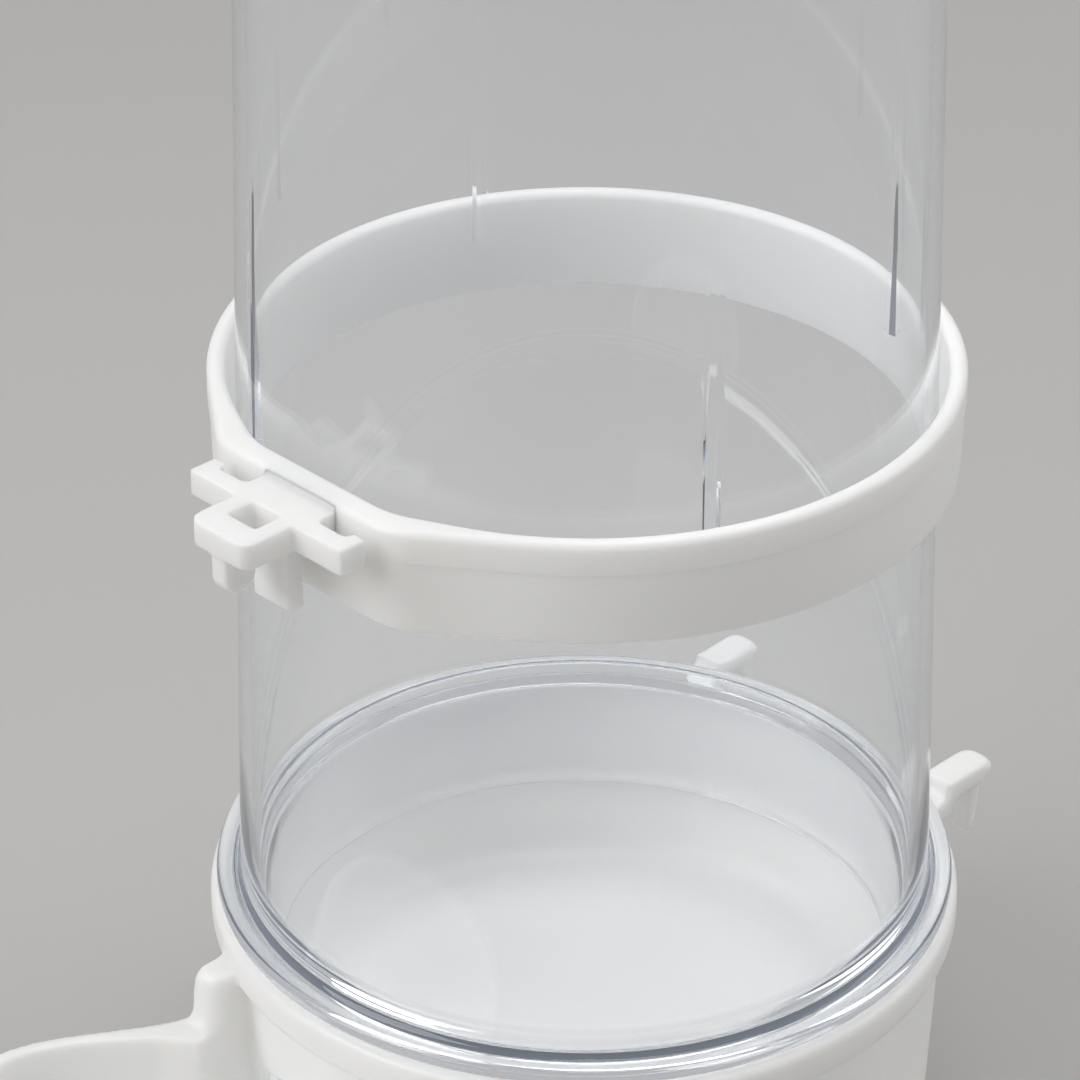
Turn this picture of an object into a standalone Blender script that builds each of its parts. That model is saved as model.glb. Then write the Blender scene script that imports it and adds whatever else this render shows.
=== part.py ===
"""Siphon drinking fount for quail, chicks and other small caged birds.

Three mouldings: a clear reservoir, a white base with its drinking trough and rear hooks,
and a white collar round the reservoir with a clip for the wires of a cage.
Units are metres and +Z is up. The trough points to -Y and the rear hooks to +Y.
The origin is on the ground at the middle of the overall box. Every shape is drawn round
the reservoir's own upright axis, and an empty carries them all to their place.
"""

import math

import bmesh
import bpy

MM = 0.001

# Driving dimensions, in millimetres. Heights count from the ground.
TOTAL_HEIGHT = 230.0
ROUND_STEPS = 72  # sides of every turned shape

# Clear reservoir: a drafted tube, closed at the top and open at the bottom
TUBE_RADIUS = 50.0  # outside, at TUBE_RADIUS_HEIGHT
TUBE_RADIUS_HEIGHT = 138.0
TUBE_DRAFT = 0.0256  # loss of radius for each unit of height
TUBE_WALL = 1.8
CROWN_FILLET = 9.0
FLANGE_RADIUS = 55.8
FLANGE_BOTTOM = 49.8
FLANGE_TOP = 52.2
SKIRT_RADIUS = 50.6
SKIRT_BOTTOM = 32.0
RIB_BOTTOM = 133.0
RIB_LENGTH = 27.0
RIB_WIDTH = 1.8
RIB_DEPTH = 1.0
RIB_ANGLES = (65.0, 155.0, 245.0, 335.0)

# White base: round bowl, trough in front, two hooks behind
BODY_RADIUS_FOOT = 53.0
BODY_RADIUS_TOP = 54.7
BODY_TOP = 43.0  # underside of the rim band
RIM_RADIUS = 56.8
RIM_TOP = 49.4
BASE_WALL = 2.0
BOWL_FLOOR = 17.0
BOWL_FILLET = 7.0
FLOOR_THICKNESS = 2.4
TROUGH_RIM = 37.0
TROUGH_NECK_HALF = 24.6  # half width where the trough leaves the body
TROUGH_NECK_Y = -52.0
TROUGH_WIDE_HALF = 38.5
TROUGH_WIDE_Y = -86.0
TROUGH_NOSE = 30.0  # from the widest place to the front of the rim
TROUGH_WALL = 2.3
TROUGH_DRAFT = 0.06
PASSAGE_HALF = 19.3  # half width between the cheeks
FLANK_BACK_Y = -61.3  # the hollow opens out along a straight flank, then a curve
FLANK_FRONT_Y = -64.65
FLANK_HALF = 24.8
TROUGH_UNDERSIDE = 14.6
DOOR_HALF = 17.6
DOOR_CHAMFER = 4.6
DOOR_SPRING = 28.0
DOOR_CROWN = 31.5
CHEEK_TOP = 46.0
CHEEK_OUT_Y = -57.6
HOOK_X = 24.5
HOOK_WIDTH = 5.4
HOOK_TIP_Y = 64.5
HOOK_TOP = 52.0
HOOK_UNDER = 48.3  # underside of the arm
HOOK_FINGER_Y = 59.5  # inner face of the finger
HOOK_FINGER_WIDTH = 3.4
HOOK_FINGER_BOTTOM = 39.2

# White collar: a D-shaped band with the cage clip on its flat side
COLLAR_TOP = 138.3
COLLAR_BOTTOM = 123.2
COLLAR_PARTING = 133.3
COLLAR_OUTER = 54.1
COLLAR_INNER = 51.5
FLAT_OUTER_Y = 54.7
FLAT_OUTER_HALF = 17.0
FLAT_INNER_Y = 50.5
FLAT_INNER_HALF = 13.8
CLIP_TOP = 137.0
CLIP_THICKNESS = 4.0
NECK_HALF = 7.2
BAR_HALF = 15.3
BAR_BACK_Y = -58.1
LIP_X = 12.6  # the bar's ends thicken into lips that keep a wire in
LIP_BACK_Y = -56.7
BAR_FRONT_Y = -61.2
LOOP_HALF = 5.8
LOOP_FRONT_Y = -69.7
LOOP_HOLE_HALF = 2.9
LOOP_HOLE_BACK_Y = -60.6
LOOP_HOLE_FRONT_Y = -65.3
RIB_PLATE_HALF = 3.6
RIB_PLATE_BACK_Y = -57.6
RIB_PLATE_FRONT_Y = -60.5
RIB_PLATE_BOTTOM = 122.0


def clear_scene():
    for obj in list(bpy.data.objects):
        bpy.data.objects.remove(obj, do_unlink=True)


def plastic(name, color, roughness, transmission=0.0):
    """A Principled BSDF material for one moulding."""
    material = bpy.data.materials.new(name)
    material.use_nodes = True
    shader = material.node_tree.nodes["Principled BSDF"]
    shader.inputs["Base Color"].default_value = (*color, 1.0)
    shader.inputs["Roughness"].default_value = roughness
    shader.inputs["Metallic"].default_value = 0.0
    shader.inputs["Transmission Weight"].default_value = transmission
    return material


def mesh_object(name, bm, material):
    """Turns a bmesh built in millimetres into an object in metres."""
    bmesh.ops.scale(bm, vec=(MM, MM, MM), verts=bm.verts)
    bmesh.ops.recalc_face_normals(bm, faces=bm.faces)
    mesh = bpy.data.meshes.new(name)
    bm.to_mesh(mesh)
    bm.free()
    mesh.shade_smooth()
    mesh.set_sharp_from_angle(angle=math.radians(35))
    obj = bpy.data.objects.new(name, mesh)
    bpy.context.scene.collection.objects.link(obj)
    obj.data.materials.append(material)
    return obj


def helper(obj):
    """Marks an object as a tool that only shapes another one."""
    obj.hide_render = True
    obj.display_type = "WIRE"
    return obj


def combine(target, tool, operation):
    """Adds a live Boolean: the tool is joined to the target or cut from it."""
    modifier = target.modifiers.new(f"{operation.lower()} {tool.name}", "BOOLEAN")
    modifier.operation = operation
    modifier.solver = "EXACT"
    modifier.object = helper(tool)


def arc(center, radius, start, end, steps):
    """Points on a circle arc, with the angles in degrees."""
    points = []
    for step in range(steps + 1):
        angle = math.radians(start + (end - start) * step / steps)
        points.append((center[0] + radius * math.cos(angle), center[1] + radius * math.sin(angle)))
    return points


def turned(name, outline, material):
    """Turns an outline of (radius, height) points round Z. Points on the axis close the ends."""
    bm = bmesh.new()
    rings = []
    for radius, height in outline:
        if radius == 0.0:
            rings.append([bm.verts.new((0.0, 0.0, height))])
            continue
        ring = []
        for step in range(ROUND_STEPS):
            angle = math.tau * step / ROUND_STEPS
            ring.append(bm.verts.new((radius * math.cos(angle), radius * math.sin(angle), height)))
        rings.append(ring)
    closed = outline[0][0] != 0.0
    pairs = list(zip(rings, rings[1:] + rings[:1])) if closed else list(zip(rings, rings[1:]))
    for lower, upper in pairs:
        for step in range(ROUND_STEPS):
            after = (step + 1) % ROUND_STEPS
            if len(lower) == 1:
                bm.faces.new((lower[0], upper[step], upper[after]))
            elif len(upper) == 1:
                bm.faces.new((lower[step], lower[after], upper[0]))
            else:
                bm.faces.new((lower[step], lower[after], upper[after], upper[step]))
    return mesh_object(name, bm, material)


def lofted(name, sections, material):
    """Bridges closed sections that have the same number of points, and caps both ends."""
    bm = bmesh.new()
    rings = [[bm.verts.new(point) for point in section] for section in sections]
    for lower, upper in zip(rings, rings[1:]):
        count = len(lower)
        for step in range(count):
            after = (step + 1) % count
            bm.faces.new((lower[step], lower[after], upper[after], upper[step]))
    bm.faces.new(rings[0][::-1])
    bm.faces.new(rings[-1])
    return mesh_object(name, bm, material)


def slab(name, outline, axis, start, end, material):
    """Extrudes an outline between two places along X or Z."""
    if axis == "X":
        sections = [[(place, a, b) for a, b in outline] for place in (start, end)]
    else:
        sections = [[(a, b, place) for a, b in outline] for place in (start, end)]
    return lofted(name, sections, material)


def tube_radius(height):
    return TUBE_RADIUS - TUBE_DRAFT * (height - TUBE_RADIUS_HEIGHT)


def reservoir_outline():
    """The wall of the reservoir, from the skirt's lower edge up the outside and back down inside."""
    shoulder = TOTAL_HEIGHT - CROWN_FILLET
    crown = tube_radius(shoulder)
    outer = [(SKIRT_RADIUS - 0.5, SKIRT_BOTTOM), (SKIRT_RADIUS, FLANGE_BOTTOM - 0.8)]
    outer += [(SKIRT_RADIUS + 0.5, FLANGE_BOTTOM)]
    outer += arc((FLANGE_RADIUS - 0.7, FLANGE_BOTTOM + 0.7), 0.7, -90, 0, 3)
    outer += arc((FLANGE_RADIUS - 0.9, FLANGE_TOP - 0.9), 0.9, 0, 90, 3)
    outer += arc((tube_radius(FLANGE_TOP) + 2.0, FLANGE_TOP + 2.0), 2.0, 270, 180, 4)
    outer += arc((crown - CROWN_FILLET, shoulder), CROWN_FILLET, 0, 90, 6)
    outer += [(0.0, TOTAL_HEIGHT)]
    inner_fillet = CROWN_FILLET - TUBE_WALL
    inner = [(0.0, TOTAL_HEIGHT - TUBE_WALL)]
    inner += arc((crown - CROWN_FILLET, shoulder), inner_fillet, 90, 0, 6)
    inner += [(tube_radius(FLANGE_TOP + 4.0) - TUBE_WALL, FLANGE_TOP + 4.0)]
    inner += [(SKIRT_RADIUS - TUBE_WALL, FLANGE_BOTTOM - 2.0)]
    inner += [(SKIRT_RADIUS - 0.5 - TUBE_WALL, SKIRT_BOTTOM)]
    return outer, inner


def make_reservoir(material):
    outer, inner = reservoir_outline()
    bottle = turned("reservoir", [(0.0, outer[0][1])] + outer, material)
    hollow_bottom = [(0.0, SKIRT_BOTTOM - 2.0), (inner[-1][0], SKIRT_BOTTOM - 2.0)]
    hollow = turned("reservoir_hollow", hollow_bottom + inner[::-1], material)
    combine(bottle, hollow, "DIFFERENCE")
    for number, angle in enumerate(RIB_ANGLES, 1):
        combine(bottle, stacking_rib(f"stacking_rib_{number}", angle, material), "UNION")
    return bottle


def stacking_rib(name, angle, material):
    """A thin fin on the inner wall that runs out to nothing upwards."""
    top = RIB_BOTTOM + RIB_LENGTH
    low = tube_radius(RIB_BOTTOM) - TUBE_WALL
    high = tube_radius(top) - TUBE_WALL
    root = 0.6  # how far the fin reaches into the wall
    outline = [(low - RIB_DEPTH, RIB_BOTTOM), (low + root, RIB_BOTTOM)]
    outline += [(high + root, top), (high + 0.1, top)]
    half = RIB_WIDTH / 2
    turn = math.radians(angle)
    sections = []
    for side in (-half, half):
        section = []
        for radius, height in outline:
            x = radius * math.cos(turn) - side * math.sin(turn)
            y = radius * math.sin(turn) + side * math.cos(turn)
            section.append((x, y, height))
        sections.append(section)
    return lofted(name, sections, material)


def trough_half_width(y):
    """Half the rim's width: a smooth flare from the neck to the widest place."""
    share = (TROUGH_NECK_Y - y) / (TROUGH_NECK_Y - TROUGH_WIDE_Y)
    share = min(max(share, 0.0), 1.0)
    blend = 0.5 - 0.5 * math.cos(math.pi * share)
    return TROUGH_NECK_HALF + (TROUGH_WIDE_HALF - TROUGH_NECK_HALF) * blend


def hollow_half_width(y):
    """Half the hollow's width: the passage, a straight flank, and a curve to the widest place."""
    if y >= FLANK_BACK_Y:
        return PASSAGE_HALF
    if y >= FLANK_FRONT_Y:
        share = (FLANK_BACK_Y - y) / (FLANK_BACK_Y - FLANK_FRONT_Y)
        return PASSAGE_HALF + (FLANK_HALF - PASSAGE_HALF) * share
    share = (FLANK_FRONT_Y - y) / (FLANK_FRONT_Y - TROUGH_WIDE_Y)
    wide = TROUGH_WIDE_HALF - TROUGH_WALL
    return FLANK_HALF + (wide - FLANK_HALF) * math.sin(math.pi / 2 * share)


def stations(start, end, steps):
    return [start + (end - start) * step / steps for step in range(steps + 1)]


def trough_outline(half_width, inset, side_ys):
    """A plan outline through the sides at these places, and round the nose."""
    side = [(half_width(y) - inset, y) for y in side_ys]
    wide = side[-1][0]
    depth = TROUGH_NOSE - (TROUGH_WIDE_HALF - wide)
    nose = [(x * wide, TROUGH_WIDE_Y + y * depth) for x, y in arc((0.0, 0.0), 1.0, 0, -90, 10)[1:]]
    right = side + nose
    return right + [(-x, y) for x, y in right[-2::-1]]


def trough_sections(half_width, fillet, bottom, top, side_ys):
    """Sections from the trough's bottom to its rim: a filleted foot, then walls with draft."""
    sections = []
    for reach, rise in arc((0.0, fillet), fillet, -90, 0, 4):
        inset = TROUGH_DRAFT * (TROUGH_RIM - bottom) + fillet - reach
        outline = trough_outline(half_width, inset, side_ys)
        sections.append([(x, y, bottom + rise) for x, y in outline])
    outline = trough_outline(half_width, -TROUGH_DRAFT * (top - TROUGH_RIM), side_ys)
    sections.append([(x, y, top) for x, y in outline])
    return sections


def make_trough(material):
    side_ys = stations(-45.0, TROUGH_WIDE_Y, 10)
    outer = trough_sections(trough_half_width, 7.0, TROUGH_UNDERSIDE, TROUGH_RIM, side_ys)
    trough = lofted("trough_shell", outer, material)
    side_ys = [-40.0, FLANK_BACK_Y] + stations(FLANK_FRONT_Y, TROUGH_WIDE_Y, 6)
    inner = trough_sections(hollow_half_width, 5.0, BOWL_FLOOR, TROUGH_RIM + 3.0, side_ys)
    combine(trough, lofted("trough_hollow", inner, material), "DIFFERENCE")
    return trough


def cheek(name, side, material):
    """The raised side wall between the body and the trough's rim."""
    outline = [(-47.6, 30.0), (-47.6, CHEEK_TOP)]
    outline += arc((CHEEK_OUT_Y + 2.4, CHEEK_TOP - 2.4), 2.4, 90, 180, 4)
    outline += arc((CHEEK_OUT_Y - 3.6, TROUGH_RIM + 3.0), 3.2, 0, -90, 4)
    outline += [(CHEEK_OUT_Y - 3.6, 35.5), (CHEEK_OUT_Y + 4.0, 30.0)]
    outer = side * (TROUGH_NECK_HALF + 0.1)
    inner = side * (PASSAGE_HALF + 0.05)
    return slab(name, outline, "X", min(outer, inner), max(outer, inner), material)


def rear_hook(name, side, material):
    """A level arm behind the rim, with a finger under it that points down behind a wire."""
    tip = HOOK_TIP_Y
    arm = [(50.5, 45.0), (53.5, 45.6), (56.5, HOOK_UNDER), (tip - 1.6, HOOK_UNDER)]
    arm += [(tip, 49.9), (tip, 50.6), (tip - 1.6, HOOK_TOP)]
    arm += [(53.4, HOOK_TOP - 0.3), (52.6, 48.9), (50.5, 48.9)]
    back = HOOK_FINGER_Y
    finger = [(back, HOOK_UNDER + 1.0), (back, HOOK_FINGER_BOTTOM)]
    finger += [(back + 1.7, HOOK_FINGER_BOTTOM), (back + 3.1, HOOK_UNDER + 1.0)]
    middle = side * HOOK_X
    plates = []
    for outline, width in ((arm, HOOK_WIDTH), (finger, HOOK_FINGER_WIDTH)):
        left, right = middle - width / 2, middle + width / 2
        plates.append(slab(f"{name}_{len(plates)}", outline, "X", left, right, material))
    combine(plates[0], plates[1], "UNION")
    return plates[0]


def make_base(material):
    body = [(0.0, 0.0), (BODY_RADIUS_FOOT, 0.0), (BODY_RADIUS_TOP, BODY_TOP)]
    body += arc((RIM_RADIUS - 1.6, BODY_TOP + 1.6), 1.6, -90, 0, 3)
    body += arc((RIM_RADIUS - 1.4, RIM_TOP - 1.4), 1.4, 0, 90, 3)
    body += [(0.0, RIM_TOP)]
    base = turned("base", body, material)
    combine(base, make_trough(material), "UNION")
    for side, label in ((-1, "left"), (1, "right")):
        combine(base, cheek(f"cheek_{label}", side, material), "UNION")
        combine(base, rear_hook(f"rear_hook_{label}", side, material), "UNION")
    bowl_radius = BODY_RADIUS_TOP - BASE_WALL
    bowl = [(0.0, BOWL_FLOOR)]
    bowl += arc((bowl_radius - 0.9 - BOWL_FILLET, BOWL_FLOOR + BOWL_FILLET), BOWL_FILLET, -90, 0, 5)
    bowl += [(bowl_radius, RIM_TOP + 2.0), (0.0, RIM_TOP + 2.0)]
    combine(base, turned("bowl_hollow", bowl, material), "DIFFERENCE")
    foot_radius = BODY_RADIUS_FOOT - BASE_WALL
    underside = BOWL_FLOOR - FLOOR_THICKNESS
    foot = [(0.0, -2.0), (foot_radius, -2.0), (foot_radius + 0.4, underside), (0.0, underside)]
    combine(base, turned("foot_hollow", foot, material), "DIFFERENCE")
    combine(base, doorway(material), "DIFFERENCE")
    return base


def doorway(material):
    """A cutter with an arched top, through the wall between the bowl and the trough."""
    low = BOWL_FLOOR + 0.01
    outline = [(DOOR_CHAMFER - DOOR_HALF, low), (DOOR_HALF - DOOR_CHAMFER, low)]
    outline.append((DOOR_HALF, low + DOOR_CHAMFER))
    for step in range(9):
        share = 1 - 2 * step / 8
        rise = (DOOR_CROWN - DOOR_SPRING) * (1 - share * share)
        outline.append((DOOR_HALF * share, DOOR_SPRING + rise))
    outline.append((-DOOR_HALF, low + DOOR_CHAMFER))
    sections = [[(x, y, z) for x, z in outline] for y in (-56.0, -40.0)]
    return lofted("doorway", sections, material)


def d_radius(angle, radius, flat_y, flat_half):
    """Polar radius of a circle with a flat on it, whose corners run out along tangents.

    The angle is measured from -Y.
    """
    angle = abs(angle)
    corner = math.atan2(flat_half, flat_y)
    if angle <= corner:
        return flat_y / math.cos(angle)
    tangent = corner + math.acos(radius / math.hypot(flat_half, flat_y))
    if angle < tangent:
        return radius / math.cos(tangent - angle)
    return radius


def band_section(angle):
    """The collar's section at one angle: rounded top, a step at the parting line, light draft."""
    outer = d_radius(angle, COLLAR_OUTER, FLAT_OUTER_Y, FLAT_OUTER_HALF)
    inner = d_radius(angle, COLLAR_INNER, FLAT_INNER_Y, FLAT_INNER_HALF)
    crest = 1.25
    points = [(inner + 0.2, COLLAR_BOTTOM), (inner, COLLAR_BOTTOM + 0.5)]
    points += arc((inner + crest, COLLAR_TOP - crest), crest, 180, 90, 3)
    points += arc((outer - crest, COLLAR_TOP - crest), crest, 90, 0, 3)
    points += [(outer, COLLAR_PARTING), (outer - 0.2, COLLAR_PARTING - 0.1)]
    points += [(outer - 0.4, COLLAR_BOTTOM + 0.3), (outer - 0.7, COLLAR_BOTTOM)]
    direction = (math.sin(angle), -math.cos(angle))
    return [(direction[0] * reach, direction[1] * reach, height) for reach, height in points]


def make_band(material):
    """The collar's band, as a loop of sections with extra ones at the corners of the flat."""
    corner_outer = math.atan2(FLAT_OUTER_HALF, FLAT_OUTER_Y)
    corner_inner = math.atan2(FLAT_INNER_HALF, FLAT_INNER_Y)
    angles = [-math.pi + math.tau * step / ROUND_STEPS for step in range(ROUND_STEPS)]
    angles += [-corner_outer, -corner_inner, corner_inner, corner_outer]
    angles.sort()
    bm = bmesh.new()
    rings = [[bm.verts.new(point) for point in band_section(angle)] for angle in angles]
    for ring, following in zip(rings, rings[1:] + rings[:1]):
        count = len(ring)
        for step in range(count):
            after = (step + 1) % count
            bm.faces.new((ring[step], ring[after], following[after], following[step]))
    return mesh_object("collar", bm, material)


def make_clip_plate(material):
    """Neck, crossbar and loop: one flat plate in plan, with the loop's hole cut out."""
    outline = [(-NECK_HALF, -53.0), (-NECK_HALF, BAR_BACK_Y), (-LIP_X, BAR_BACK_Y)]
    outline += [(-LIP_X - 0.6, LIP_BACK_Y), (-BAR_HALF, LIP_BACK_Y)]
    outline += [(-BAR_HALF, BAR_FRONT_Y), (-LOOP_HALF, BAR_FRONT_Y)]
    outline += arc((-LOOP_HALF + 2.0, LOOP_FRONT_Y + 2.0), 2.0, 180, 270, 4)
    right = [(-x, y) for x, y in outline[::-1]]
    low = CLIP_TOP - CLIP_THICKNESS
    plate = slab("clip_plate", outline + right, "Z", low, CLIP_TOP, material)
    hole = [(-LOOP_HOLE_HALF, LOOP_HOLE_BACK_Y), (LOOP_HOLE_HALF, LOOP_HOLE_BACK_Y)]
    hole += [(LOOP_HOLE_HALF, LOOP_HOLE_FRONT_Y), (-LOOP_HOLE_HALF, LOOP_HOLE_FRONT_Y)]
    cutter = slab("clip_loop_hole", hole, "Z", low - 2.0, CLIP_TOP + 2.0, material)
    combine(plate, cutter, "DIFFERENCE")
    return plate


def make_collar(material):
    collar = make_band(material)
    combine(collar, make_clip_plate(material), "UNION")
    low = CLIP_TOP - CLIP_THICKNESS
    finger = [(LOOP_HOLE_FRONT_Y - 0.2, low + 1.0), (LOOP_FRONT_Y + 0.2, low + 1.0)]
    finger += arc((LOOP_FRONT_Y + 2.9, low - 3.3), 2.7, 180, 360, 8)
    finger += [(LOOP_FRONT_Y + 5.6, low - 0.6), (LOOP_HOLE_FRONT_Y - 0.2, low - 0.3)]
    combine(collar, slab("clip_finger", finger, "X", -1.5, 1.5, material), "UNION")
    rib = [(RIB_PLATE_BACK_Y, low + 1.0), (RIB_PLATE_BACK_Y, RIB_PLATE_BOTTOM)]
    rib += [(RIB_PLATE_FRONT_Y, RIB_PLATE_BOTTOM), (RIB_PLATE_FRONT_Y, low + 1.0)]
    plate = slab("clip_rib_plate", rib, "X", -RIB_PLATE_HALF, RIB_PLATE_HALF, material)
    combine(collar, plate, "UNION")
    return collar


def main():
    clear_scene()
    axis = bpy.data.objects.new("reservoir_axis", None)
    bpy.context.scene.collection.objects.link(axis)
    trough_front = TROUGH_WIDE_Y - TROUGH_NOSE
    axis.location.y = -(trough_front + HOOK_TIP_Y) / 2 * MM
    clear = plastic("clear_polystyrene", (0.90, 0.93, 0.97), 0.04, transmission=1.0)
    white = plastic("white_polypropylene", (0.86, 0.87, 0.87), 0.35)
    make_reservoir(clear)
    make_base(white)
    make_collar(white)
    for obj in bpy.context.scene.objects:
        if obj.type == "MESH":
            obj.parent = axis


main()
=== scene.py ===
# %% [markdown]
# # A siphon drinking fount for small birds
#
# The object has three mouldings. A clear reservoir stands upside down in a white base, and the
# base lets the water out into a drinking trough. A white collar goes round the reservoir and
# holds it to the wires of a cage. This script takes the plain working model as a fixed frame,
# and makes the fine surfaces and the finishes around it.

# %% Load the frame
import math

import bmesh
import bpy
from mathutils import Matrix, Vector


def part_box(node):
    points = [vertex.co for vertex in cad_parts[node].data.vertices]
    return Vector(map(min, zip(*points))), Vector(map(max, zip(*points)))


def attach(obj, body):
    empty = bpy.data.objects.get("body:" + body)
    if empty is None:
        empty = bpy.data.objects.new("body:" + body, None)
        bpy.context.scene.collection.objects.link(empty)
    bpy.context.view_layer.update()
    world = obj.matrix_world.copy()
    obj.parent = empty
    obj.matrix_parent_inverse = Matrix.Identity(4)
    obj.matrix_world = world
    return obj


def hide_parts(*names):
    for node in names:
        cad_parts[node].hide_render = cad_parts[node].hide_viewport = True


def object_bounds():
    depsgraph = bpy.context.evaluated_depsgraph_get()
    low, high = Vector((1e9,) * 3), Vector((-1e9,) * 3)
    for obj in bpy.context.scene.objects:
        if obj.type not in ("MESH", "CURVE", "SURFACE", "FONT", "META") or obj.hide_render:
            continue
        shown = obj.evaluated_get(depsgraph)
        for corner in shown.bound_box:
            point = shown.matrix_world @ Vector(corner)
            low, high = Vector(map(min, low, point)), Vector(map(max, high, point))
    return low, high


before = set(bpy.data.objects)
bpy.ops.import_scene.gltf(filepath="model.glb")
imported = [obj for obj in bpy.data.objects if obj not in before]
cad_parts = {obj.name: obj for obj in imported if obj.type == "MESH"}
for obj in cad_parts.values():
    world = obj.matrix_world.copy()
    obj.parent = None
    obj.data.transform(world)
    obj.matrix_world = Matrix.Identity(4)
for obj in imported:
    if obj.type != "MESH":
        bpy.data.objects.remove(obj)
cad_low, cad_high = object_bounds()

# %% [markdown]
# ## The main places
#
# The outermost places are read from the frame, so the fine pieces end where the working ones
# do. The places in between are written out in the cells below. The script draws in
# millimetres round the reservoir's upright axis, which is how a maker's drawing of a turned
# part is laid out, and moves to metres only when a mesh is finished.

# %% Places in millimetres
MM = 0.001


def low(node):
    """A node's lowest corner in millimetres."""
    return [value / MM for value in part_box(node)[0]]


def high(node):
    """A node's highest corner in millimetres."""
    return [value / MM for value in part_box(node)[1]]


AXIS_Y = (low("reservoir")[1] + high("reservoir")[1]) / 2
CROWN_TOP = high("reservoir")[2]
SKIRT_BOTTOM = low("reservoir")[2]
FLANGE_RADIUS = high("reservoir")[0]
RIM_RADIUS = high("base")[0]
TROUGH_FRONT = low("base")[1] - AXIS_Y
HOOK_TIP = high("base")[1] - AXIS_Y
HOOK_TOP = high("base")[2]
COLLAR_TOP = high("collar")[2]
COLLAR_RADIUS = high("collar")[0]
LOOP_FRONT = low("collar")[1] - AXIS_Y
print("axis at y", round(AXIS_Y, 2), "crown", CROWN_TOP, "rim radius", RIM_RADIUS)

# %% [markdown]
# ## The camera
#
# The fount is seen from its front right, a little from above, with a long lens from about
# 0.7 m away. A long lens keeps the two sides of the tube nearly parallel. The camera looks at
# the collar, so the crown and the foot fall outside the picture.

# %% Camera
VIEW_AZIMUTH = math.radians(45)
VIEW_PITCH = 0.5391
VIEW_YAW = 0.0119
STAND_OFF = 563.2  # along the ground, from the reservoir's axis
LENS_HEIGHT = 305.6  # above the collar's top
LENS = 150.0

camera = bpy.data.objects.new("camera", bpy.data.cameras.new("camera"))
bpy.context.scene.collection.objects.link(camera)
camera.location = (
    math.sin(VIEW_AZIMUTH) * STAND_OFF * MM,
    (AXIS_Y - math.cos(VIEW_AZIMUTH) * STAND_OFF) * MM,
    (COLLAR_TOP - 0.3 + LENS_HEIGHT) * MM,
)
camera.rotation_euler = (math.pi / 2 - VIEW_PITCH, 0, VIEW_AZIMUTH + VIEW_YAW)
camera.data.lens = LENS
camera.data.sensor_width = 36.0
bpy.context.scene.camera = camera
print("camera at", [round(value, 3) for value in camera.location])

# %% [markdown]
# ## Small tools for making meshes
#
# Blender could turn these shapes with a Screw modifier, but the mouldings have ribs, flats
# and fillets in places that depend on the angle. Here each shape is a grid of points made by
# a formula, so a rib or a flat is only a change of radius at some angles.

# %% Mesh tools
def arc(center_a, center_b, radius, start, end, steps):
    """Points on a circle arc in a drawing plane, with the angles in degrees."""
    points = []
    for step in range(steps + 1):
        angle = math.radians(start + (end - start) * step / steps)
        points.append((center_a + radius * math.cos(angle), center_b + radius * math.sin(angle)))
    return points


def finished(name, bm, sharp_degrees=30):
    """Moves a mesh drawn in millimetres round the axis to its place in metres."""
    for vert in bm.verts:
        vert.co = (vert.co.x * MM, (vert.co.y + AXIS_Y) * MM, vert.co.z * MM)
    bmesh.ops.recalc_face_normals(bm, faces=bm.faces)
    mesh = bpy.data.meshes.new(name)
    bm.to_mesh(mesh)
    bm.free()
    mesh.shade_smooth()
    mesh.set_sharp_from_angle(angle=math.radians(sharp_degrees))
    piece = bpy.data.objects.new(name, mesh)
    bpy.context.scene.collection.objects.link(piece)
    return piece


def bridge(bm, ring, following):
    """Faces between two rings with the same number of points."""
    count = len(ring)
    for step in range(count):
        after = (step + 1) % count
        bm.faces.new((ring[step], ring[after], following[after], following[step]))


def turned(name, outline, sides=192):
    """A solid turned round Z from (radius, height) points that start and end on the axis."""
    bm = bmesh.new()
    rings = []
    for radius, height in outline[1:-1]:
        ring = []
        for step in range(sides):
            angle = math.tau * step / sides
            ring.append(bm.verts.new((radius * math.cos(angle), radius * math.sin(angle), height)))
        rings.append(ring)
    for ring, following in zip(rings, rings[1:]):
        bridge(bm, ring, following)
    for ring, (_, height) in ((rings[0], outline[0]), (rings[-1], outline[-1])):
        middle = bm.verts.new((0, 0, height))
        for step in range(sides):
            bm.faces.new((ring[step], ring[(step + 1) % sides], middle))
    return finished(name, bm)


def lofted(name, sections):
    """A solid through closed sections of 3-D points, capped at both ends."""
    bm = bmesh.new()
    rings = [[bm.verts.new(point) for point in section] for section in sections]
    for ring, following in zip(rings, rings[1:]):
        bridge(bm, ring, following)
    bm.faces.new(rings[0])
    bm.faces.new(rings[-1])
    return finished(name, bm)


def slab(name, outline, axis, start, end):
    """A plate: an outline pushed from one place to another along X or Z."""
    if axis == "X":
        return lofted(name, [[(place, a, b) for a, b in outline] for place in (start, end)])
    return lofted(name, [[(a, b, place) for a, b in outline] for place in (start, end)])


# %% [markdown]
# ## Joining shapes the way a mould does
#
# A moulded part has no knife edges: plastic needs a small radius wherever two walls meet. The
# shapes are first joined and cut with Booleans, then a voxel remesh wraps the result in small
# even faces, and a light smoothing pulls every edge and corner into a soft fillet. Bevels on a
# Boolean's uneven faces often fail. The price of this way is that it softens every edge alike,
# also a crease that should stay crisp.

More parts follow.
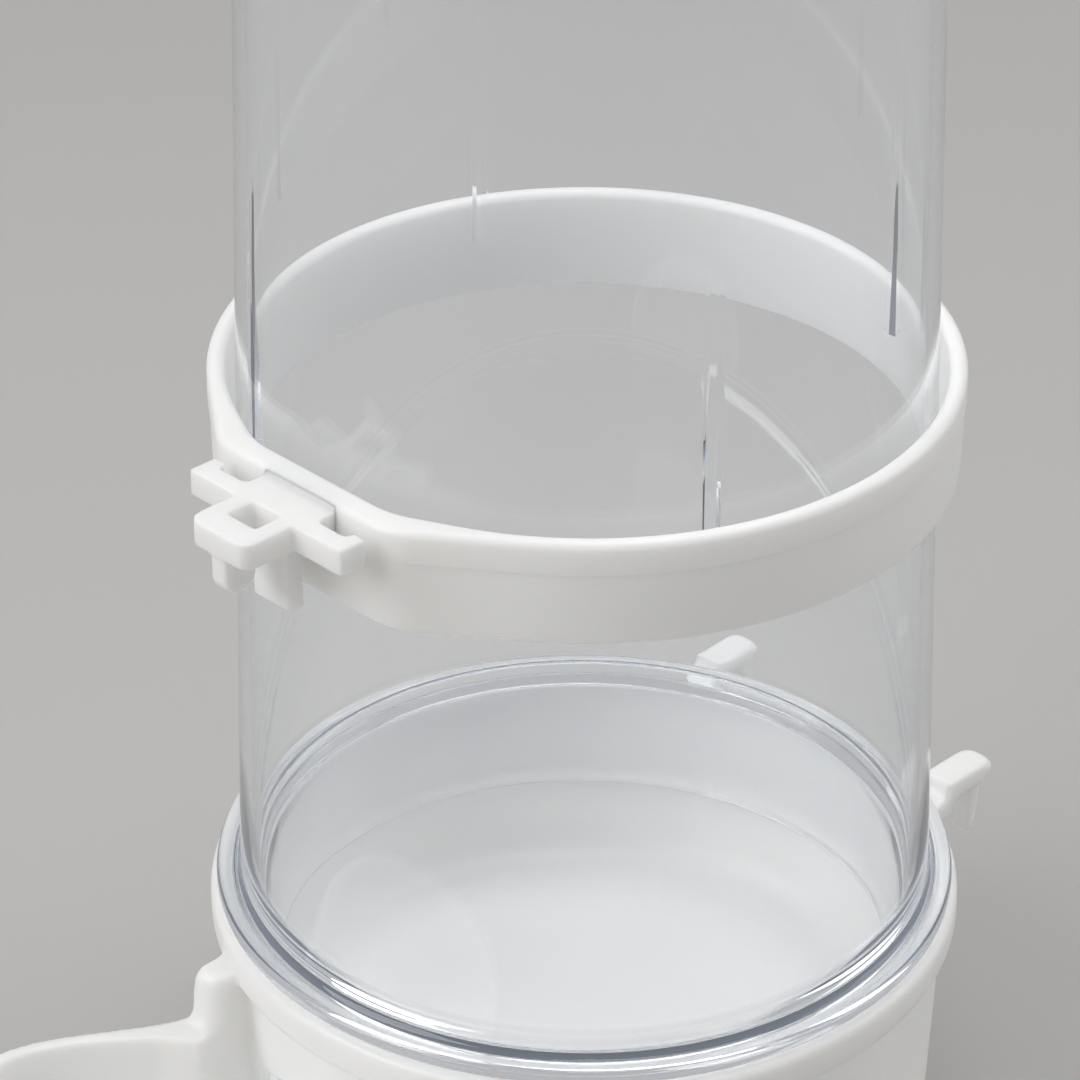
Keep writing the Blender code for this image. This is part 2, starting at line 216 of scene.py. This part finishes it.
# %% Moulded blanks
def moulded(name, blank, added=(), removed=(), voxel=0.5, smoothing=6):
    """Joins and cuts shapes, then rounds every edge by a remesh and a light smoothing."""
    for tools, operation in ((added, "UNION"), (removed, "DIFFERENCE")):
        for tool in tools:
            step = blank.modifiers.new(tool.name, "BOOLEAN")
            step.operation = operation
            step.object = tool
    wrap = blank.modifiers.new("wrap", "REMESH")
    wrap.mode = "VOXEL"
    wrap.voxel_size = voxel * MM
    relax = blank.modifiers.new("relax", "SMOOTH")
    relax.factor = 0.5
    relax.iterations = smoothing
    graph = bpy.context.evaluated_depsgraph_get()
    mesh = bpy.data.meshes.new_from_object(blank.evaluated_get(graph))
    mesh.name = name
    mesh.shade_smooth()
    for used in (blank, *added, *removed):
        bpy.data.objects.remove(used)
    piece = bpy.data.objects.new(name, mesh)
    bpy.context.scene.collection.objects.link(piece)
    print(name, len(mesh.polygons), "faces")
    return piece


# %% [markdown]
# ## The reservoir's shape
#
# The reservoir is one clear moulding. Its tube is a little wider at the mouth, so that it
# leaves the mould, and a flange near the mouth stands on the base's rim. The light bends at
# every surface of clear plastic, so facets would show at once: the wall is made of many fine
# steps, as one closed skin that runs down the outside and back up the inside. Four thin ribs
# stand on the inner wall. They stop stacked reservoirs from jamming, end square at the bottom
# and run out to nothing upwards.

# %% Reservoir wall
TUBE_RADIUS = 50.0
TUBE_RADIUS_HEIGHT = 138.0
TUBE_DRAFT = 0.0256
TUBE_WALL = 1.8
FLANGE_BOTTOM = 49.8
FLANGE_TOP = 52.2
SKIRT_RADIUS = 50.6
CROWN_FILLET = 9.0
EDGE = 0.85  # radius on the skirt's lower edge
WAIST_LOW = 45.0  # the wall steps in between these heights, from the tube to the skirt
WAIST_HIGH = 58.0


def tube_radius(height):
    return TUBE_RADIUS - TUBE_DRAFT * (height - TUBE_RADIUS_HEIGHT)


def reservoir_outside():
    """(radius, height) points down the outside, from the crown to the skirt's lower edge."""
    shoulder = CROWN_TOP - CROWN_FILLET
    crown = tube_radius(shoulder) - CROWN_FILLET
    points = [(radius, CROWN_TOP) for radius in (12.0, 24.0, 34.0, crown - 0.5)]
    points += arc(crown, shoulder, CROWN_FILLET, 90, 0, 20)
    heights = (shoulder - 0.5, 200.0, 175.0, 150.0, 125.0, 100.0, 75.0, 58.0, FLANGE_TOP + 2.3)
    points += [(tube_radius(height), height) for height in heights]
    points += arc(tube_radius(FLANGE_TOP) + 2.0, FLANGE_TOP + 2.0, 2.0, 180, 270, 16)
    points += arc(FLANGE_RADIUS - 1.1, FLANGE_TOP - 1.1, 1.1, 90, 0, 14)
    points += arc(FLANGE_RADIUS - 0.7, FLANGE_BOTTOM + 0.7, 0.7, 0, -90, 12)
    points += arc(SKIRT_RADIUS + 0.9, FLANGE_BOTTOM - 0.9, 0.9, 90, 180, 12)
    points += [(SKIRT_RADIUS - 0.02, FLANGE_BOTTOM - 1.2), (SKIRT_RADIUS - 0.25, 40.0)]
    points += arc(SKIRT_RADIUS - 0.5 - EDGE, SKIRT_BOTTOM + EDGE, EDGE, 0, -90, 10)
    return points


def reservoir_inside():
    """(radius, height) points up the inside, from the skirt's lower edge to the crown."""
    shoulder = CROWN_TOP - CROWN_FILLET
    crown = tube_radius(shoulder) - CROWN_FILLET
    foot = SKIRT_RADIUS - 0.5 - TUBE_WALL
    points = arc(foot + EDGE, SKIRT_BOTTOM + EDGE, EDGE, -90, -180, 10)
    for step in range(21):
        share = step / 20
        height = WAIST_LOW + (WAIST_HIGH - WAIST_LOW) * share
        blend = 0.5 - 0.5 * math.cos(math.pi * share)
        top = tube_radius(WAIST_HIGH) - TUBE_WALL
        points.append((foot + 0.3 + (top - foot - 0.3) * blend, height))
    heights = (75.0, 100.0, 120.0, RIB_BOTTOM - RIB_END, RIB_BOTTOM)
    heights += (RIB_BOTTOM + 9.0, RIB_BOTTOM + 18.0, RIB_TOP, 175.0, 200.0, shoulder - 0.5)
    points += [(tube_radius(height) - TUBE_WALL, height) for height in heights]
    points += arc(crown, shoulder, CROWN_FILLET - TUBE_WALL, 0, 90, 20)
    points += [(radius, CROWN_TOP - TUBE_WALL) for radius in (crown - 0.5, 34.0, 24.0, 12.0)]
    return points


# %% Stacking ribs
RIB_BOTTOM = 133.0
RIB_TOP = 160.0
RIB_DEPTH = 1.0
RIB_END = 0.4
RIB_ANGLES = (65, 155, 245, 335)
SIDES_PER_DEGREE = 2
RIB_HALF_SIDES = 2


def rib_depth(side, height):
    """How far a rib stands in from the inner wall at this side and height."""
    if not RIB_BOTTOM <= height < RIB_TOP:
        return 0.0
    if min(abs(side - rib * SIDES_PER_DEGREE) for rib in RIB_ANGLES) > RIB_HALF_SIDES:
        return 0.0
    return RIB_DEPTH * (RIB_TOP - height) / (RIB_TOP - RIB_BOTTOM)


# %% [markdown]
# The wall's sides are all equally wide. If narrow sides stood beside wide ones, the shading
# would lean towards the wide ones, and the refraction would show a kink in the tube.

# %% Build the reservoir
def make_reservoir(sides=360 * SIDES_PER_DEGREE):
    bm = bmesh.new()
    rings = []
    places = [(radius, height, False) for radius, height in reservoir_outside()]
    places += [(radius, height, True) for radius, height in reservoir_inside()]
    for radius, height, has_ribs in places:
        ring = []
        for side in range(sides):
            angle = math.tau * side / sides
            reach = radius - (rib_depth(side, height) if has_ribs else 0.0)
            ring.append(bm.verts.new((reach * math.cos(angle), reach * math.sin(angle), height)))
        rings.append(ring)
    for ring, following in zip(rings, rings[1:]):
        bridge(bm, ring, following)
    for ring, height in ((rings[0], CROWN_TOP), (rings[-1], CROWN_TOP - TUBE_WALL)):
        middle = bm.verts.new((0, 0, height))
        for step in range(len(ring)):
            bm.faces.new((ring[step], ring[(step + 1) % len(ring)], middle))
    return finished("clear_reservoir", bm)


reservoir = make_reservoir()
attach(reservoir, "reservoir")
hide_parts("reservoir")
print("reservoir:", len(reservoir.data.polygons), "faces")

# %% [markdown]
# ## The base's bowl
#
# The base is one white moulding: a round bowl with a thick rim band, a floor that stands clear
# of the ground, and a trough in front. The bowl is a plain turned shape. It starts as a solid
# blank, and the hollows are cut from it afterwards, in the order a toolmaker would think of
# them: the bowl from above, the foot from below, and the doorway from the front.

# %% Bowl, foot and doorway
BODY_RADIUS_FOOT = 53.0
BODY_RADIUS_TOP = 54.7
BODY_TOP = 43.0
RIM_TOP = 49.4
BASE_WALL = 2.0
BOWL_FLOOR = 17.0
BOWL_FILLET = 7.0
UNDERSIDE = 14.6
DOOR_HALF = 17.6
DOOR_CHAMFER = 4.6
DOOR_SPRING = 28.0
DOOR_CROWN = 31.5
DOOR_FRONT = -56.0
DOOR_BACK = -40.0


def base_blank():
    outline = [(0.0, 0.0), (BODY_RADIUS_FOOT, 0.0), (BODY_RADIUS_TOP, BODY_TOP)]
    outline += arc(RIM_RADIUS - 1.6, BODY_TOP + 1.6, 1.6, -90, 0, 8)
    outline += arc(RIM_RADIUS - 1.4, RIM_TOP - 1.4, 1.4, 0, 90, 8)
    return turned("base_blank", outline + [(0.0, RIM_TOP)])


def bowl_hollow():
    radius = BODY_RADIUS_TOP - BASE_WALL
    outline = [(0.0, BOWL_FLOOR)]
    outline += arc(radius - 0.9 - BOWL_FILLET, BOWL_FLOOR + BOWL_FILLET, BOWL_FILLET, -90, 0, 12)
    outline += [(radius, RIM_TOP + 2.0), (0.0, RIM_TOP + 2.0)]
    return turned("bowl_hollow", outline)


def foot_hollow():
    radius = BODY_RADIUS_FOOT - BASE_WALL
    outline = [(0.0, -2.0), (radius, -2.0), (radius + 0.4, UNDERSIDE - 2.0)]
    return turned("foot_hollow", outline + [(radius - 1.6, UNDERSIDE), (0.0, UNDERSIDE)])


def doorway():
    outline = [(DOOR_CHAMFER - DOOR_HALF, BOWL_FLOOR), (DOOR_HALF - DOOR_CHAMFER, BOWL_FLOOR)]
    outline.append((DOOR_HALF, BOWL_FLOOR + DOOR_CHAMFER))
    for step in range(17):
        share = 1 - 2 * step / 16
        rise = (DOOR_CROWN - DOOR_SPRING) * (1 - share**2)
        outline.append((DOOR_HALF * share, DOOR_SPRING + rise))
    outline.append((-DOOR_HALF, BOWL_FLOOR + DOOR_CHAMFER))
    return lofted("doorway", [[(x, y, z) for x, z in outline] for y in (DOOR_FRONT, DOOR_BACK)])


# %% [markdown]
# ## The trough
#
# The trough leaves the body through a narrow neck and flares out to a wide rounded nose. In
# plan the outside follows a half wave of a cosine, which starts and ends without a corner, and
# the nose is half an ellipse. The hollow has its own outline: a narrow passage between two
# thick cheeks, a short straight flank, then a curve. The walls lean out a little, so that the
# part leaves its mould.

# %% Trough and cheeks
TROUGH_RIM = 37.0
NECK_HALF = 24.6
NECK_Y = -52.0
WIDE_HALF = 38.5
WIDE_Y = -86.0
TROUGH_WALL = 2.3
PASSAGE_HALF = 19.6  # the hollow between the cheeks
FLANK_BACK = -60.8
FLANK_FRONT = -64.65
FLANK_HALF = 24.8
CHEEK_ROUND = 3.2
WALL_LEAN = 0.06
CHEEK_TOP = 46.0
CHEEK_OUT = -57.6


def trough_half_width(y):
    """Half the trough's outside width: a half wave from the neck to the widest place."""
    share = min(max((NECK_Y - y) / (NECK_Y - WIDE_Y), 0.0), 1.0)
    blend = 0.5 - 0.5 * math.cos(math.pi * share)
    return NECK_HALF + (WIDE_HALF - NECK_HALF) * blend


def hollow_half_width(y):
    """Half the hollow's width: the passage, a straight flank, a curve to the widest place."""
    if y >= FLANK_BACK:
        return PASSAGE_HALF
    if y >= FLANK_FRONT:
        share = (FLANK_BACK - y) / (FLANK_BACK - FLANK_FRONT)
        return PASSAGE_HALF + (FLANK_HALF - PASSAGE_HALF) * share
    share = (FLANK_FRONT - y) / (FLANK_FRONT - WIDE_Y)
    return FLANK_HALF + (WIDE_HALF - TROUGH_WALL - FLANK_HALF) * math.sin(math.pi / 2 * share)


def trough_outline(half_width, inset, back_y):
    side = []
    for step in range(48):
        y = back_y + (WIDE_Y - back_y) * step / 48
        side.append((half_width(y) - inset, y))
    wide = half_width(WIDE_Y) - inset
    depth = WIDE_Y - TROUGH_FRONT - (WIDE_HALF - wide)
    nose = arc(0.0, 0.0, 1.0, 0, -90, 24)
    right = side + [(x * wide, WIDE_Y + y * depth) for x, y in nose]
    return right + [(-x, y) for x, y in right[-2::-1]]


def trough_block(name, half_width, fillet, bottom, top, back_y):
    sections = []
    for reach, rise in arc(0.0, fillet, fillet, -90, 0, 8):
        inset = WALL_LEAN * (TROUGH_RIM - bottom) + fillet - reach
        outline = trough_outline(half_width, inset, back_y)
        sections.append([(x, y, bottom + rise) for x, y in outline])
    outline = trough_outline(half_width, -WALL_LEAN * (top - TROUGH_RIM), back_y)
    sections.append([(x, y, top) for x, y in outline])
    return lofted(name, sections)


def trough_shell():
    shell = trough_block("trough_shell", trough_half_width, 7.0, UNDERSIDE, TROUGH_RIM, -45.0)
    top = TROUGH_RIM + 3.0
    hollow = trough_block("trough_hollow", hollow_half_width, 5.0, BOWL_FLOOR, top, -40.0)
    cut = shell.modifiers.new("hollow", "BOOLEAN")
    cut.operation = "DIFFERENCE"
    cut.object = hollow
    graph = bpy.context.evaluated_depsgraph_get()
    mesh = bpy.data.meshes.new_from_object(shell.evaluated_get(graph))
    shell.modifiers.clear()
    shell.data = mesh
    bpy.data.objects.remove(hollow)
    return shell


def cheek(side):
    """A thick side wall, rounded at its inner front edge, that ties the rim to the body."""
    outline = [(-47.6, 30.0), (-47.6, CHEEK_TOP)]
    outline += arc(CHEEK_OUT + 2.4, CHEEK_TOP - 2.4, 2.4, 90, 180, 8)
    outline += arc(CHEEK_OUT - 3.6, TROUGH_RIM + 3.0, 3.2, 0, -90, 8)
    outline += [(CHEEK_OUT - 3.6, 35.5), (CHEEK_OUT + 4.0, 30.0)]
    sections = [[(side * (NECK_HALF + 0.1), y, z) for y, z in outline]]
    for reach, past in arc(0.0, 0.0, CHEEK_ROUND, 0, 90, 8):
        x = side * (PASSAGE_HALF - 0.3 + CHEEK_ROUND - past)
        sections.append([(x, y + CHEEK_ROUND - reach, z) for y, z in outline])
    return lofted(f"cheek_{side}", sections)


# %% [markdown]
# ## The rear hooks
#
# Two short arms stand out behind the rim, each with a finger under it that points down. They
# drop over a wire of the cage and carry the back of the base.

# %% Rear hooks
HOOK_X = 24.5
HOOK_WIDTH = 5.4
ARM_UNDER = 48.3
FINGER_WIDTH = 3.4
FINGER_BACK = 59.5
FINGER_BOTTOM = 39.2


def hook_arm(side):
    """A level arm whose tip is rounded in plan."""
    sections = []
    for step in range(13):
        across = step / 6 - 1
        tip = HOOK_TIP - 1.6 * across**4
        outline = [(50.5, 45.0), (53.5, 45.6), (56.5, ARM_UNDER), (tip - 1.6, ARM_UNDER)]
        outline += [(tip, 49.9), (tip, 50.6), (tip - 1.6, HOOK_TOP)]
        outline += [(53.4, HOOK_TOP - 0.3), (52.6, 48.9), (50.5, 48.9)]
        x = side * HOOK_X + across * HOOK_WIDTH / 2
        sections.append([(x, y, z) for y, z in outline])
    return lofted(f"hook_arm_{side}", sections)


def hook_finger(side):
    outline = [(FINGER_BACK, ARM_UNDER + 1.0), (FINGER_BACK, FINGER_BOTTOM)]
    outline += [(FINGER_BACK + 1.7, FINGER_BOTTOM), (FINGER_BACK + 3.1, ARM_UNDER + 1.0)]
    middle = side * HOOK_X
    half = FINGER_WIDTH / 2
    return slab(f"hook_finger_{side}", outline, "X", middle - half, middle + half)


# %% Build the base
hooks = [make(side) for side in (-1, 1) for make in (hook_arm, hook_finger)]
base = moulded(
    "white_base",
    base_blank(),
    added=[trough_shell(), cheek(-1), cheek(1), *hooks],
    removed=[bowl_hollow(), foot_hollow(), doorway()],
    voxel=0.55,
)
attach(base, "base")
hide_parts("base")

# %% [markdown]
# ## The collar's band
#
# The collar is a ring with a flat on its front. Its outline is the shape a string makes when
# it is pulled round a circle and two corner points: flat between the corners, straight to
# where it touches the circle, then round. The band's section has a rounded top and a fine
# step where the two halves of the mould met.

# %% Collar band
COLLAR_BOTTOM = low("collar")[2] + 0.4  # counted from the clip's rib plate, the lowest point
COLLAR_PARTING = 133.3
COLLAR_INNER = 51.5
FLAT_OUTER_Y = 54.7
FLAT_OUTER_HALF = 17.0
FLAT_INNER_Y = 50.5
FLAT_INNER_HALF = 13.8
CREST = 1.25


def d_radius(angle, radius, flat_y, flat_half):
    """Distance from the axis to a D-shaped outline. The angle is measured from the flat."""
    angle = abs(angle)
    corner = math.atan2(flat_half, flat_y)
    if angle <= corner:
        return flat_y / math.cos(angle)
    tangent = corner + math.acos(radius / math.hypot(flat_half, flat_y))
    if angle < tangent:
        return radius / math.cos(tangent - angle)
    return radius


def softened(angle, *shape):
    """The D-shape with soft corners: the mean of its radius over a few degrees."""
    reach = [d_radius(angle + math.radians(offset), *shape) for offset in range(-3, 4)]
    return sum(reach) / len(reach)


def band_section(angle):
    outer = softened(angle, COLLAR_RADIUS, FLAT_OUTER_Y, FLAT_OUTER_HALF)
    inner = softened(angle, COLLAR_INNER, FLAT_INNER_Y, FLAT_INNER_HALF)
    points = arc(inner + 0.5, COLLAR_BOTTOM + 0.5, 0.5, -90, -180, 4)
    points += arc(inner + CREST, COLLAR_TOP - CREST, CREST, 180, 90, 8)
    points += arc(outer - CREST, COLLAR_TOP - CREST, CREST, 90, 0, 8)
    points += [(outer, COLLAR_PARTING + 0.1), (outer - 0.05, COLLAR_PARTING)]
    points += [(outer - 0.2, COLLAR_PARTING - 0.05)]
    points += arc(outer - 0.4 - 0.5, COLLAR_BOTTOM + 0.5, 0.5, 0, -90, 4)
    return [(math.sin(angle) * reach, -math.cos(angle) * reach, height) for reach, height in points]


def make_band(sides=360):
    angles = [-math.pi + math.tau * step / sides for step in range(sides)]
    bm = bmesh.new()
    rings = [[bm.verts.new(point) for point in band_section(angle)] for angle in angles]
    for ring, following in zip(rings, rings[1:] + rings[:1]):
        bridge(bm, ring, following)
    return finished("collar_band", bm, sharp_degrees=24)


band = make_band()
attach(band, "collar")
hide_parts("collar")

# %% [markdown]
# ## The cage clip
#
# The clip stands on the collar's flat. It is one flat plate with two pieces under it, all with
# small soft edges. Upright wires of a cage fit behind the two arms of the crossbar, between
# the lips at their ends and the neck. The loop, its finger and the rib plate seem to hold a
# level wire or a pin, but nothing here depends on that.

# %% Clip
CLIP_TOP = 137.0
CLIP_THICKNESS = 4.0
CLIP_UNDER = CLIP_TOP - CLIP_THICKNESS
CLIP_NECK_HALF = 7.2
BAR_HALF = 15.3
BAR_BACK = -58.1
LIP_X = 12.6  # the bar's ends thicken into lips that keep a wire in
LIP_BACK = -56.7
BAR_FRONT = -61.2
LOOP_HALF = 5.8
LOOP_HOLE_HALF = 2.9
LOOP_HOLE_BACK = -60.6
LOOP_HOLE_FRONT = -65.3
CLIP_FINGER_HALF = 1.5
CLIP_FINGER_ROUND = 2.7
RIB_PLATE_HALF = 3.6
RIB_PLATE_BACK = -57.6
RIB_PLATE_FRONT = -60.5
RIB_PLATE_BOTTOM = low("collar")[2]


def clip_plate():
    corner = 1.2
    outline = [(-CLIP_NECK_HALF, -53.0)]
    outline += arc(-CLIP_NECK_HALF - corner, BAR_BACK + corner, corner, 0, -90, 6)
    outline += [(-LIP_X, BAR_BACK), (-LIP_X - 0.6, LIP_BACK), (-BAR_HALF, LIP_BACK)]
    outline += [(-BAR_HALF, BAR_FRONT), (-LOOP_HALF, BAR_FRONT)]
    outline += arc(-LOOP_HALF + 2.0, LOOP_FRONT + 2.0, 2.0, 180, 270, 8)
    right = [(-x, y) for x, y in outline[::-1]]
    return slab("clip_plate", outline + right, "Z", CLIP_UNDER, CLIP_TOP)


def neck_fillet():
    """A hollow fillet where the clip's top meets the band."""
    outline = [(-53.5, CLIP_TOP - 1.0), (-53.5, COLLAR_TOP - 0.5)]
    outline += arc(-FLAT_OUTER_Y - 1.0, COLLAR_TOP - 0.5, 1.0, 0, -90, 8)
    outline += [(-FLAT_OUTER_Y - 1.0, CLIP_TOP - 1.0)]
    return slab("neck_fillet", outline, "X", -CLIP_NECK_HALF, CLIP_NECK_HALF)


def loop_hole():
    outline = [(-LOOP_HOLE_HALF, LOOP_HOLE_BACK), (LOOP_HOLE_HALF, LOOP_HOLE_BACK)]
    outline += [(LOOP_HOLE_HALF, LOOP_HOLE_FRONT), (-LOOP_HOLE_HALF, LOOP_HOLE_FRONT)]
    return slab("loop_hole", outline, "Z", CLIP_UNDER - 2.0, CLIP_TOP + 2.0)


def clip_finger():
    outline = [(LOOP_HOLE_FRONT, CLIP_UNDER + 1.0), (LOOP_FRONT + 0.2, CLIP_UNDER + 1.0)]
    outline += arc(LOOP_FRONT + 2.9, CLIP_UNDER - 3.3, CLIP_FINGER_ROUND, 180, 360, 16)
    outline += [(LOOP_FRONT + 5.6, CLIP_UNDER - 0.6), (LOOP_HOLE_FRONT, CLIP_UNDER - 0.3)]
    return slab("clip_finger", outline, "X", -CLIP_FINGER_HALF, CLIP_FINGER_HALF)


def rib_plate():
    outline = [(RIB_PLATE_BACK, CLIP_UNDER + 1.0), (RIB_PLATE_BACK, RIB_PLATE_BOTTOM)]
    outline += [(RIB_PLATE_FRONT, RIB_PLATE_BOTTOM), (RIB_PLATE_FRONT, CLIP_UNDER + 1.0)]
    return slab("rib_plate", outline, "X", -RIB_PLATE_HALF, RIB_PLATE_HALF)


clip = moulded(
    "collar_clip",
    clip_plate(),
    added=[neck_fillet(), clip_finger(), rib_plate()],
    removed=[loop_hole()],
    voxel=0.2,
    smoothing=10,
)
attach(clip, "collar")

# %% [markdown]
# ## White polypropylene
#
# The white parts have a soft sheen. Polypropylene lets a little light in, which softens the
# shadows inside corners, so the shader has a small subsurface share. The colour varies by a
# percent or two, and the roughness a little more, in slow clouds left by the flow of the
# plastic, and a very fine grain breaks up the highlights.

# %% Shader tools
def new_material(name):
    material = bpy.data.materials.new(name)
    material.use_nodes = True
    return material, material.node_tree, material.node_tree.nodes["Principled BSDF"]


def noise(tree, scale, detail, coordinates):
    texture = tree.nodes.new("ShaderNodeTexNoise")
    texture.inputs["Scale"].default_value = scale
    texture.inputs["Detail"].default_value = detail
    tree.links.new(coordinates, texture.inputs["Vector"])
    return texture.outputs["Fac"]


def spread(tree, value, lowest, highest):
    """Maps a noise from 0-1 to a range of values."""
    mapping = tree.nodes.new("ShaderNodeMapRange")
    mapping.inputs["To Min"].default_value = lowest
    mapping.inputs["To Max"].default_value = highest
    tree.links.new(value, mapping.inputs["Value"])
    return mapping.outputs["Result"]


# %% White plastic
def white_polypropylene():
    material, tree, shader = new_material("white_polypropylene")
    place = tree.nodes.new("ShaderNodeTexCoord").outputs["Object"]
    clouds = noise(tree, 18.0, 3.0, place)
    tint = tree.nodes.new("ShaderNodeMix")
    tint.data_type = "RGBA"
    tint.inputs["A"].default_value = (0.86, 0.86, 0.85, 1.0)
    tint.inputs["B"].default_value = (0.90, 0.90, 0.892, 1.0)
    tree.links.new(clouds, tint.inputs["Factor"])
    tree.links.new(tint.outputs["Result"], shader.inputs["Base Color"])
    tree.links.new(spread(tree, clouds, 0.30, 0.40), shader.inputs["Roughness"])
    shader.inputs["Subsurface Weight"].default_value = 1.0
    shader.inputs["Subsurface Radius"].default_value = (1.0, 0.95, 0.9)
    shader.inputs["Subsurface Scale"].default_value = 0.003
    shader.inputs["IOR"].default_value = 1.49
    bump = tree.nodes.new("ShaderNodeBump")
    bump.inputs["Strength"].default_value = 0.06
    bump.inputs["Distance"].default_value = 0.0002
    tree.links.new(noise(tree, 900.0, 2.0, place), bump.inputs["Height"])
    tree.links.new(bump.outputs["Normal"], shader.inputs["Normal"])
    return material


white = white_polypropylene()
for piece in (base, band, clip):
    piece.data.materials.clear()
    piece.data.materials.append(white)

# %% [markdown]
# ## Clear polystyrene
#
# The reservoir is polished clear plastic. It bends light strongly and has a faint blue tint,
# which hardly shows through one wall but gathers along the edges, where the light travels a
# long way inside the plastic. A volume that absorbs a little more red than blue gives that. The
# same volume also gives off a faint painted glow, a stand-in for light that the plastic scatters.
# Real plastic gives off no light of its own, so the glow is painted light that suits a bright
# studio only: without it, rays that are trapped in the flange draw black lines. Very slow waves
# in the surface are left from the moulding.

# %% Clear plastic
def clear_polystyrene():
    material, tree, shader = new_material("clear_polystyrene")
    place = tree.nodes.new("ShaderNodeTexCoord").outputs["Object"]
    waves = noise(tree, 25.0, 1.0, place)
    shader.inputs["Base Color"].default_value = (1.0, 1.0, 1.0, 1.0)
    shader.inputs["Transmission Weight"].default_value = 1.0
    shader.inputs["IOR"].default_value = 1.5
    tree.links.new(spread(tree, waves, 0.0, 0.015), shader.inputs["Roughness"])
    bump = tree.nodes.new("ShaderNodeBump")
    bump.inputs["Strength"].default_value = 0.05
    bump.inputs["Distance"].default_value = 0.0004
    tree.links.new(waves, bump.inputs["Height"])
    tree.links.new(bump.outputs["Normal"], shader.inputs["Normal"])
    tint = tree.nodes.new("ShaderNodeVolumeAbsorption")
    tint.inputs["Color"].default_value = (0.35, 0.62, 1.0, 1.0)
    tint.inputs["Density"].default_value = 8.0
    # Painted light: a faint blue glow from the volume, which real plastic does not give off
    painted_glow = tree.nodes.new("ShaderNodeEmission")
    painted_glow.inputs["Color"].default_value = (0.80, 0.87, 1.0, 1.0)
    painted_glow.inputs["Strength"].default_value = 9.5
    both = tree.nodes.new("ShaderNodeAddShader")
    tree.links.new(tint.outputs["Volume"], both.inputs[0])
    tree.links.new(painted_glow.outputs["Emission"], both.inputs[1])
    tree.links.new(both.outputs["Shader"], tree.nodes["Material Output"].inputs["Volume"])
    return material


reservoir.data.materials.clear()
reservoir.data.materials.append(clear_polystyrene())

# %% [markdown]
# ## The studio
#
# The fount stands on a plain pale floor that runs on far behind it. A large soft light on the
# left does most of the work, a second one overhead fills the tops, and a weaker one behind on
# the right draws the edge of the clear tube.

# %% Floor
def pale_floor():
    material, tree, shader = new_material("pale_floor")
    place = tree.nodes.new("ShaderNodeTexCoord").outputs["Object"]
    tint = tree.nodes.new("ShaderNodeMix")
    tint.data_type = "RGBA"
    tint.inputs["A"].default_value = (0.468, 0.463, 0.453, 1.0)
    tint.inputs["B"].default_value = (0.486, 0.481, 0.471, 1.0)
    tree.links.new(noise(tree, 3.0, 2.0, place), tint.inputs["Factor"])
    tree.links.new(tint.outputs["Result"], shader.inputs["Base Color"])
    shader.inputs["Roughness"].default_value = 0.8
    return material


bm = bmesh.new()
bmesh.ops.create_circle(bm, cap_ends=True, segments=96, radius=12.0)
floor_mesh = bpy.data.meshes.new("floor")
bm.to_mesh(floor_mesh)
bm.free()
floor = bpy.data.objects.new("floor", floor_mesh)
bpy.context.scene.collection.objects.link(floor)
floor.location.z = cad_low.z
floor.data.materials.append(pale_floor())


# %% Lights
def softbox(name, azimuth, elevation, distance, size, power):
    """A square light that faces the middle of the reservoir. Azimuth counts as the camera's."""
    light = bpy.data.lights.new(name, "AREA")
    light.shape = "RECTANGLE"
    light.size, light.size_y = size
    light.energy = power
    lamp = bpy.data.objects.new(name, light)
    bpy.context.scene.collection.objects.link(lamp)
    turn, tilt = math.radians(azimuth), math.radians(elevation)
    lamp.location = (
        distance * math.sin(turn) * math.cos(tilt),
        AXIS_Y * MM - distance * math.cos(turn) * math.cos(tilt),
        0.12 + distance * math.sin(tilt),
    )
    lamp.rotation_euler = (math.pi / 2 - tilt, 0, turn)
    return lamp


softbox("key_left", -22, 35, 1.6, (1.1, 1.1), 12.8)
softbox("edge_right", 150, 30, 1.6, (0.8, 1.2), 3.8)
softbox("top", 160, 80, 0.9, (0.6, 0.6), 3.3)

world = bpy.data.worlds.new("studio")
bpy.context.scene.world = world
world.use_nodes = True
world.node_tree.nodes["Background"].inputs["Color"].default_value = (1.0, 0.99, 0.98, 1.0)
world.node_tree.nodes["Background"].inputs["Strength"].default_value = 0.40
bpy.context.scene.view_settings.view_transform = "Standard"

# %% [markdown]
# Cycles blurs sharp refractions after light has bounced off a white surface, to keep noise
# down. Behind the wall of a clear tube that setting turns the white base grey. It is called
# Filter Glossy, and it is switched off here.

# %% Sharp refractions
bpy.context.scene.cycles.blur_glossy = 0.0
